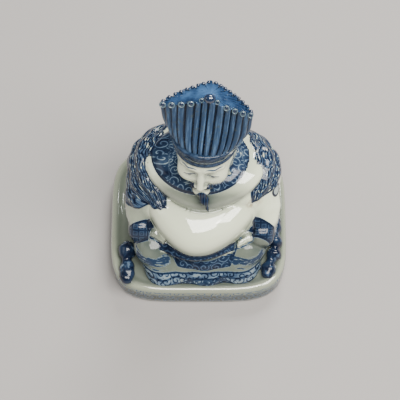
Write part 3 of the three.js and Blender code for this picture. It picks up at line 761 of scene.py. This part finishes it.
# ------------------------------------------------------------------ one mesh
NAMES = ["tone", "hemback", "tray", "stain", "fold", "collar", "should", "belt", "cuff", "waves", "apron", "hem", "lens", "lump", "belly", "mark", "beard", "hair", "ink", "skin", "crown", "rib", "ctop", "band", "boss", "wall", "rimtop", "pu", "pv"]
ZERO = {"tone", "stain", "skin", "rib", "boss", "rimtop", "pu", "pv"}
verts, quads, tris_all, n0 = [], [], [], 0
values = {k: [] for k in NAMES}
for v, f, t, attrs in parts:
    verts.append(v)
    quads.append(f + n0)
    tris_all.append(t + n0)
    for k in NAMES:
        values[k].append(attrs[k] if k in attrs else np.full(len(v), 0.0 if k in ZERO else -9.0))
    n0 += len(v)
verts = np.concatenate(verts)
quads, tris_all = np.concatenate(quads).astype(int), np.concatenate(tris_all).astype(int)
mesh = bpy.data.meshes.new("deity_porcelain")
loops = np.concatenate([quads.ravel(), tris_all.ravel()])
starts = np.concatenate([np.arange(len(quads)) * 4, len(quads) * 4 + np.arange(len(tris_all)) * 3])
mesh.vertices.add(len(verts))
mesh.vertices.foreach_set("co", (verts / 1000).ravel())
mesh.loops.add(len(loops))
mesh.loops.foreach_set("vertex_index", loops)
mesh.polygons.add(len(starts))
mesh.polygons.foreach_set("loop_start", starts)
mesh.update(calc_edges=True)
for k in NAMES:
    at = mesh.attributes.new(k, "FLOAT", "POINT")
    at.data.foreach_set("value", np.clip(np.concatenate(values[k]), -1000, 1000).astype(np.float32))
mesh.polygons.foreach_set("use_smooth", np.ones(len(mesh.polygons), bool))
skin_of = np.concatenate([np.full(q, m) for q, _, m in mats] + [np.full(t, m) for _, t, m in mats]).astype(np.int32)
painted = np.max([np.concatenate(values[k]) for k in ("collar", "should", "belt", "cuff", "waves", "apron", "hem", "lens", "lump", "wall", "mark", "hair", "beard", "hemback")], axis=0) > 0
painted |= np.concatenate(values["tone"]) > 1.05
painted = np.concatenate([painted[quads].mean(axis=1), painted[tris_all].mean(axis=1)]) > 0.5
beads = np.concatenate(values["boss"]) > 0.05
beads = np.concatenate([beads[quads].mean(axis=1), beads[tris_all].mean(axis=1)]) > 0.5
skin_of = np.where((skin_of == 0) & painted, 2, np.where(beads, 0, skin_of)).astype(np.int32)
print("triangles", len(quads) * 2 + len(tris_all))
figure = bpy.data.objects.new("deity_porcelain", mesh)
bpy.context.scene.collection.objects.link(figure)


# ------------------------------------------------------------------ material
class Net:
    def __init__(self, tree):
        self.tree = tree

    def node(self, kind, **props):
        n = self.tree.nodes.new(kind)
        for k, val in props.items():
            setattr(n, k, val)
        return n

    def put(self, socket, val):
        if isinstance(val, Val):
            val = val.s
        if isinstance(val, bpy.types.NodeSocket):
            self.tree.links.new(val, socket)
        elif val is not None:
            socket.default_value = val

    def math(self, op, a, b=None, c=None):
        n = self.node("ShaderNodeMath", operation=op)
        self.put(n.inputs[0], a)
        if b is not None:
            self.put(n.inputs[1], b)
        if c is not None:
            self.put(n.inputs[2], c)
        return Val(self, n.outputs[0])

    def attr(self, name):
        n = self.node("ShaderNodeAttribute", attribute_name=name)
        return Val(self, n.outputs["Fac"])

    def step(self, x, lo, hi):
        n = self.node("ShaderNodeMapRange", interpolation_type="SMOOTHSTEP")
        self.put(n.inputs[0], x)
        n.inputs[1].default_value, n.inputs[2].default_value = lo, hi
        return Val(self, n.outputs[0])

    def vec(self, x, y, z=0.0):
        n = self.node("ShaderNodeCombineXYZ")
        self.put(n.inputs[0], x)
        self.put(n.inputs[1], y)
        self.put(n.inputs[2], z)
        return n.outputs[0]

    def noise(self, vector, scale, detail=2.0, rough=0.5, distortion=0.0):
        n = self.node("ShaderNodeTexNoise")
        self.put(n.inputs["Vector"], vector)
        n.inputs["Scale"].default_value = scale
        n.inputs["Detail"].default_value = detail
        n.inputs["Roughness"].default_value = rough
        n.inputs["Distortion"].default_value = distortion
        return Val(self, n.outputs[0])

    def mixc(self, a, b, fac):
        n = self.node("ShaderNodeMix", data_type="RGBA")
        self.put(n.inputs[0], fac)
        self.put(n.inputs[6], a)
        self.put(n.inputs[7], b)
        return n.outputs[2]

    def scrolls(self, u, v, cell, turns=1.6, seed=0.0, spread=0.75):
        """Curling tendrils: one spiral round each of a scatter of centres, left- and right-handed by turns. 1 on a line."""
        w = self.vec(u * (1 / cell), v * (1 / cell), seed)
        vo = self.node("ShaderNodeTexVoronoi", voronoi_dimensions="2D", feature="F1")
        vo.inputs["Scale"].default_value = 1.0
        vo.inputs["Randomness"].default_value = spread
        self.put(vo.inputs["Vector"], w)
        sub = self.node("ShaderNodeVectorMath", operation="SUBTRACT")
        self.put(sub.inputs[0], w)
        self.put(sub.inputs[1], vo.outputs["Position"])
        sep = self.node("ShaderNodeSeparateXYZ")
        self.put(sep.inputs[0], sub.outputs[0])
        dx, dy = Val(self, sep.outputs[0]), Val(self, sep.outputs[1])
        rgb = self.node("ShaderNodeSeparateColor")
        self.put(rgb.inputs[0], vo.outputs["Color"])
        hand = self.math("SIGN", Val(self, rgb.outputs[0]) - 0.5)
        r = self.math("SQRT", dx * dx + dy * dy)
        th = self.math("ARCTAN2", dy, dx) * hand
        phase = th + r * (turns * 6.2832 * 1.6) + Val(self, rgb.outputs[1]) * 6.2832
        return self.math("COSINE", phase), r


class Val:
    def __init__(self, net, s):
        self.net, self.s = net, s

    def __add__(self, o): return self.net.math("ADD", self, o)
    __radd__ = __add__
    def __sub__(self, o): return self.net.math("SUBTRACT", self, o)
    def __rsub__(self, o): return self.net.math("SUBTRACT", o, self)
    def __mul__(self, o): return self.net.math("MULTIPLY", self, o)
    __rmul__ = __mul__
    def max(self, o): return self.net.math("MAXIMUM", self, o)
    def min(self, o): return self.net.math("MINIMUM", self, o)
    def abs(self): return self.net.math("ABSOLUTE", self)
    def inv(self): return self.net.math("SUBTRACT", 1.0, self)


def porcelain(name, coat, level, rough, ior):
    mat = bpy.data.materials.new(name)
    mat.use_nodes = True
    tree = mat.node_tree
    tree.nodes.clear()
    g = Net(tree)
    out = g.node("ShaderNodeOutputMaterial")
    sh = g.node("ShaderNodeBsdfPrincipled")
    tree.links.new(sh.outputs[0], out.inputs[0])
    geo = g.node("ShaderNodeTexCoord")
    pos = geo.outputs["Object"]
    A = {k: g.attr(k) for k in NAMES}
    u, v = A["pu"], A["pv"]
    broad = g.noise(pos, 38, 3, 0.55)
    fine = g.noise(pos, 330, 3, 0.6)
    wash = g.noise(pos, 120, 2, 0.5, 0.3)
    wob = (g.noise(pos, 160, 2, 0.5) - 0.5)
    uu, vv = u + wob * 1.6, v + (g.noise(pos, 190, 1, 0.5) - 0.5) * 1.6

    ON = lambda d, lo=-0.25, hi=0.25: g.step(d, lo, hi)
    edge = lambda d, w=0.9: g.step(d, -0.2, 0.15) * g.step(d, w, w + 0.5).inv()

    s1, r1 = g.scrolls(uu, vv, 7.8, 1.5)
    light1 = g.step(s1, 0.58, 0.92)
    s2, r2 = g.scrolls(uu, vv, 6.5, 1.3)
    line2 = g.step(s2, 0.2, 0.7)
    s3, r3 = g.scrolls(uu, vv * 0.62, 7.0, 1.25)
    line3 = g.step(s3, 0.1, 0.7)

    # density of the blue, region by region: 0 bare glaze, 1 darkest
    col_d = (0.82 - light1 * 0.44 + (wash - 0.5) * 0.8).max(edge(A["collar"], 1.0) * 0.95)
    belt_d = (0.94 - line2 * 0.32 + (wash - 0.5) * 0.6).max(edge(A["belt"], 0.8))
    stroke = g.math("SINE", u * 2.9 + g.math("SINE", v * 0.5) * 2.2 + (g.noise(g.vec(u * 0.5, v * 0.2, 4.0), 0.5, 2) - 0.5) * 11.0)
    gap = g.noise(g.vec(u * 1.25, v * 0.24, 9.0), 0.75, 2, 0.6)
    sho = (0.50 + g.step(stroke, -0.1, 0.35) * 0.55 + line3 * 0.30 - g.step(gap, 0.56, 0.65) * 0.50).max(0.0)
    sho_d = sho.max(edge(A["should"], 1.3) * 0.85)
    # key fret: squares within squares, each with a gap, on the sleeve borders
    cell = 5.2
    fu = g.math("ABSOLUTE", g.math("FRACT", u * (1 / cell) + 40.25) - 0.5)
    fv = g.math("ABSOLUTE", g.math("FRACT", v * (1 / cell) + 40.25) - 0.5)
    rad = fu.max(fv)
    fret = g.step(g.math("ABSOLUTE", g.math("FRACT", rad * 3.4) - 0.5), 0.2, 0.32)
    cuf_d = (0.90 - fret * 0.24 + (wash - 0.5) * 0.4).max(edge(A["cuff"], 1.2) * 0.95)
    tuft = g.noise(g.vec(u * 0.55, v * 1.6, 3.0), 0.40, 3, 0.6)
    wav_d = g.step(tuft + g.step(A["waves"], 0.2, 2.2) * 0.14, 0.47, 0.58) * 0.76
    apr_d = (0.92 - g.step(s2, 0.40, 0.9) * 0.40 + (wash - 0.5) * 0.5).max(edge(A["apron"], 0.8) * 0.7)
    stripe = g.step(g.math("SINE", v * 1.05 + g.math("SINE", u * 0.33) * 0.8), 0.1, 0.8)
    hem_d = (line2 * 0.50 + stripe * 0.35 + 0.28 + (wash - 0.45) * 0.8).max(edge(A["hem"], 0.9) * 0.85)
    len_d = (0.75 - light1 * 0.5 + (wash - 0.5) * 0.5).max(edge(A["lens"], 0.8) * 0.9)
    lum_d = 0.9 + (wash - 0.5) * 0.9 - g.step(g.noise(pos, 210, 2), 0.56, 0.66) * 0.4
    mrk_d = (edge(A["mark"], 1.3) * 1.0).max(g.step(A["mark"], 3.4, 4.2) * 0.85).max(0.20)
    brd_d = 0.92 + g.math("SINE", u * 3.4 + v * 0.25) * 0.16
    hai_d = 0.8 + g.math("SINE", u * 3.0) * 0.12
    bnd_d = 0.72 + (g.noise(g.vec(u, v * 2.0, 1.0), 0.28, 2, 0.6) - 0.5) * 0.9
    wal_d = (g.step(s1, 0.2, 0.9) * 0.44 + g.step(g.noise(g.vec(u * 0.5, v * 1.8, 5.0), 0.2, 2), 0.5, 0.7) * 0.20)

    hmb_d = (edge(A["hemback"], 0.7) * 0.8).max(g.step(s1, 0.72, 0.95) * 0.45)

    layers = [("hemback", hmb_d), ("collar", col_d), ("belt", belt_d), ("should", sho_d), ("cuff", cuf_d), ("waves", wav_d), ("apron", apr_d), ("hem", hem_d), ("lens", len_d), ("lump", lum_d), ("mark", mrk_d), ("beard", brd_d), ("hair", hai_d), ("band", bnd_d), ("wall", wal_d)]
    blue = None
    for name, dens in layers:
        here = ON(A[name]) * dens
        if name in ("lens",):
            blue = blue.max(here)
        else:
            blue = here if blue is None else blue.max(here)
    # brows, lids, irises and the line of the lips, drawn on the face's front
    au = u.abs()

    def drawn(off, half):
        return g.step(off.abs() - half, -0.12, 0.30).inv()

    arch = au - 8.8
    taper = g.math("SQRT", (1.0 - arch * arch * (1 / 36.0)).max(0.0))
    brow = drawn(v - (EYE + 8.6) + arch * arch * 0.028, taper * 0.75 - 0.3) * g.step(taper, 0.02, 0.2)
    look = au - 8.2
    slit = g.math("SQRT", (1.0 - look * look * (1 / 19.0)).max(0.0))
    lid = drawn(v - (EYE + 0.2) + look * look * 0.035, slit * 0.25 + 0.05) * g.step(slit, 0.02, 0.2)
    iris = g.step(g.math("SQRT", look * look + (v - (EYE - 0.9)) * (v - (EYE - 0.9)) * 1.6), 1.0, 1.5).inv() * g.step(v - (EYE + 0.2) + look * look * 0.035, -0.3, 0.1).inv()
    lips = drawn(v - (LIP - 0.3) - au * 0.05, (1.0 - au * 0.2) * 0.22) * g.step(au, 4.4, 5.0).inv()
    ink = (brow * 0.62).max(lid * 0.85).max(iris * 0.8).max(lips * 0.6)
    blue = blue.max(ink * g.step(A["ink"], 0.0, 1.0))
    blue = blue.max(g.step(A["fold"], -0.1, 0.6) * 0.92)
    blue = blue.min(1.0).max(0.0)

    # glaze with faint warm clouds, painted darker grey-green in the hollows as shade from ambient occlusion, less on
    # the paunch
    ao = g.node("ShaderNodeAmbientOcclusion")
    ao.inputs["Distance"].default_value = 0.06
    ao.samples = 12
    occlusion_shade = Val(g, ao.outputs["AO"]).inv()
    glaze = g.mixc((0.77, 0.83, 0.59, 1), (0.85, 0.89, 0.67, 1), broad)
    shade = 1.0 - g.math("POWER", Val(g, ao.outputs["AO"]), 4.0)
    # painted shade: darker where ambient occlusion is deep
    glaze = g.mixc(glaze, (0.085, 0.108, 0.092, 1), shade * (0.90 - g.step(A["belly"], -0.6, 0.4) * 0.55))
    # painted shade: the plinth's tray painted darker grey-green
    glaze = g.mixc(glaze, (0.27, 0.30, 0.24, 1), g.step(A["tray"], 0.0, 3.0) * 0.75)
    glaze = g.mixc(glaze, (0.30, 0.17, 0.07, 1), (A["stain"] * 1.3).min(1.0) * g.step(g.noise(pos, 300, 3, 0.6), 0.36, 0.56) * 0.85)
    # painted shade: the plinth's wall painted dark below its upper edge
    glaze = g.mixc(glaze, (0.05, 0.06, 0.058, 1), ON(A["wall"], -0.3, 1.5) * g.step(A["pv"], 11.0, 16.5).inv() * 0.88)
    # painted shade over the knees, the sleeve and the chest
    glaze = g.mixc(glaze, (0.02, 0.036, 0.042, 1), A["tone"] * (broad * 0.3 + 0.5))
    # painted shade: the plinth's whole top, rim and tray, painted darker than the figure's glaze
    glaze = g.mixc(glaze, (0.05, 0.06, 0.052, 1), A["rimtop"].max(0.0).min(1.0) * 0.58)
    ramp = g.node("ShaderNodeValToRGB")
    g.put(ramp.inputs[0], blue)
    cr_ = ramp.color_ramp
    cr_.elements[0].position, cr_.elements[0].color = 0.0, (0.46, 0.53, 0.50, 1)
    cr_.elements[1].position, cr_.elements[1].color = 1.0, (0.005, 0.009, 0.024, 1)
    for p_, c_ in ((0.25, (0.19, 0.26, 0.32, 1)), (0.5, (0.050, 0.083, 0.140, 1)), (0.78, (0.016, 0.031, 0.064, 1))):
        e = cr_.elements.new(p_)
        e.color = c_
    col = g.mixc(glaze, ramp.outputs[0], g.step(blue, 0.02, 0.3))
    # crown: nearly black in the grooves, mid blue on the ribs, lighter mottled blue on the roof planes that is partly
    # painted highlight
    groove = g.step(A["rib"], 0.20, 0.62)
    rib_streak_and_highlight = g.noise(g.vec(u * 1.1, v * 0.07, 2.0), 0.7, 3, 0.6)
    crown_c = g.mixc((0.003, 0.008, 0.022, 1), (0.022, 0.050, 0.105, 1), groove)
    # lighter streaks on the ribs, partly the blue's own variation and partly painted highlight
    crown_c = g.mixc(crown_c, (0.085, 0.165, 0.295, 1), groove * g.step(rib_streak_and_highlight, 0.46, 0.70) * 0.9)
    crown_c = g.mixc(crown_c, (0.050, 0.065, 0.060, 1), g.step(fine, 0.54, 0.68) * 0.55)
    # the roof planes' lighter mottling: partly uneven blue, partly painted highlight
    roof = g.mixc((0.012, 0.030, 0.075, 1), (0.045, 0.105, 0.22, 1), g.step(g.noise(pos, 48, 3, 0.6), 0.34, 0.66))
    # painted shade: the crown darkened where it is occluded
    crown_c = g.mixc(crown_c, (0.003, 0.007, 0.020, 1), g.step(occlusion_shade, 0.35, 0.8) * 0.8)
    crown_c = g.mixc(crown_c, roof, g.step(A["ctop"], 0.2, 1.4))
    col = g.mixc(col, crown_c, ON(A["crown"]))
    boss_c = g.mixc((0.010, 0.022, 0.055, 1), (0.085, 0.135, 0.165, 1), g.step(A["boss"], 1.2, 1.9))
    col = g.mixc(col, boss_c, g.step(A["boss"], 0.1, 0.25))
    # kiln specks
    speck = g.node("ShaderNodeTexVoronoi", voronoi_dimensions="3D", feature="F1")
    speck.inputs["Scale"].default_value = 95
    g.put(speck.inputs["Vector"], pos)
    dot = g.step(Val(g, speck.outputs["Distance"]), 0.035, 0.075).inv() * g.step(broad, 0.5, 0.62)
    col = g.mixc(col, (0.16, 0.13, 0.10, 1), dot * 0.7)
    g.put(sh.inputs["Base Color"], col)
    sh.inputs["Roughness"].default_value = rough
    sh.inputs["IOR"].default_value = ior
    sh.inputs["Coat Weight"].default_value = coat
    sh.inputs["Specular IOR Level"].default_value = level
    sh.inputs["Coat Roughness"].default_value = 0.03
    bump = g.node("ShaderNodeBump")
    bump.inputs["Strength"].default_value = 0.25
    bump.inputs["Distance"].default_value = 0.0006
    height = g.noise(pos, 70, 2, 0.5) * 0.8 + ON(A["should"]) * sho * -0.5 + fine * 0.05
    g.put(bump.inputs["Height"], height)
    tree.links.new(bump.outputs[0], sh.inputs["Normal"])
    return mat


mesh.materials.append(porcelain("glazed_porcelain", 1.0, 0.5, 0.07, 1.6))
mesh.materials.append(porcelain("cobalt_glaze", 0.12, 0.20, 0.10, 1.45))
mesh.materials.append(porcelain("painted_glaze", 0.12, 0.32, 0.13, 1.5))
mesh.polygons.foreach_set("material_index", skin_of)
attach(figure, "root")
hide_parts("deity_figure")

# ------------------------------------------------------------------ floor, light, camera
bpy.ops.mesh.primitive_plane_add(size=6, location=(0, 0, 0))
floor = bpy.context.object
floor.name = "floor"
fm = bpy.data.materials.new("floor")
fm.use_nodes = True
b = fm.node_tree.nodes["Principled BSDF"]
b.inputs["Base Color"].default_value = (0.350, 0.328, 0.315, 1)
b.inputs["Roughness"].default_value = 0.9
floor.data.materials.append(fm)
floor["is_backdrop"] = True


def area(name, at, to, size, power, colour=(1, 1, 1), size_y=None):
    lamp = bpy.data.lights.new(name, "AREA")
    lamp.energy, lamp.color = power, colour
    lamp.shape = "RECTANGLE"
    lamp.size, lamp.size_y = size, size_y or size
    o = bpy.data.objects.new(name, lamp)
    bpy.context.scene.collection.objects.link(o)
    o.location = at
    o.rotation_euler = (Vector(to) - Vector(at)).to_track_quat("-Z", "Y").to_euler()
    o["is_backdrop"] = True
    return o


area("overhead", (0.45, 1.25, 1.45), (0, 0, 0.08), 0.85, 40, (0.99, 1.0, 0.98), 0.55)
area("window_a", (0.12, -0.72, 1.88), (0, 0, 0.06), 0.96, 47, (1.0, 0.985, 0.945), 0.90)
area("window_b", (1.06, -0.50, 1.76), (0, 0, 0.06), 0.96, 45, (1.0, 0.985, 0.945), 0.90)
area("side", (-1.5, -0.1, 0.9), (0, 0, 0.08), 0.9, 3.5, (0.95, 0.98, 1.0), 0.9)
world = bpy.data.worlds.new("world")
bpy.context.scene.world = world
world.use_nodes = True
world.node_tree.nodes["Background"].inputs[0].default_value = (0.93, 0.95, 1.0, 1)
world.node_tree.nodes["Background"].inputs[1].default_value = 0.10

camera = bpy.data.cameras.new("camera")
camera.sensor_width, camera.lens = 36, 153
camera.clip_start, camera.clip_end = 0.05, 20
cam = bpy.data.objects.new("camera", camera)
bpy.context.scene.collection.objects.link(cam)
aim = Vector((0.0011, -0.005, 0.061))
el, dist = math.radians(62), 1.334
cam.location = aim + Vector((0, -math.cos(el), math.sin(el))) * dist
cam.rotation_euler = (aim - cam.location).to_track_quat("-Z", "Y").to_euler()
bpy.context.scene.camera = cam

new_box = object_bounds()
flat = lambda q: [float(n) for c in q for n in (c if hasattr(c, "__len__") else [c])]
{"cad": flat(cad_box), "visual": flat(new_box)}
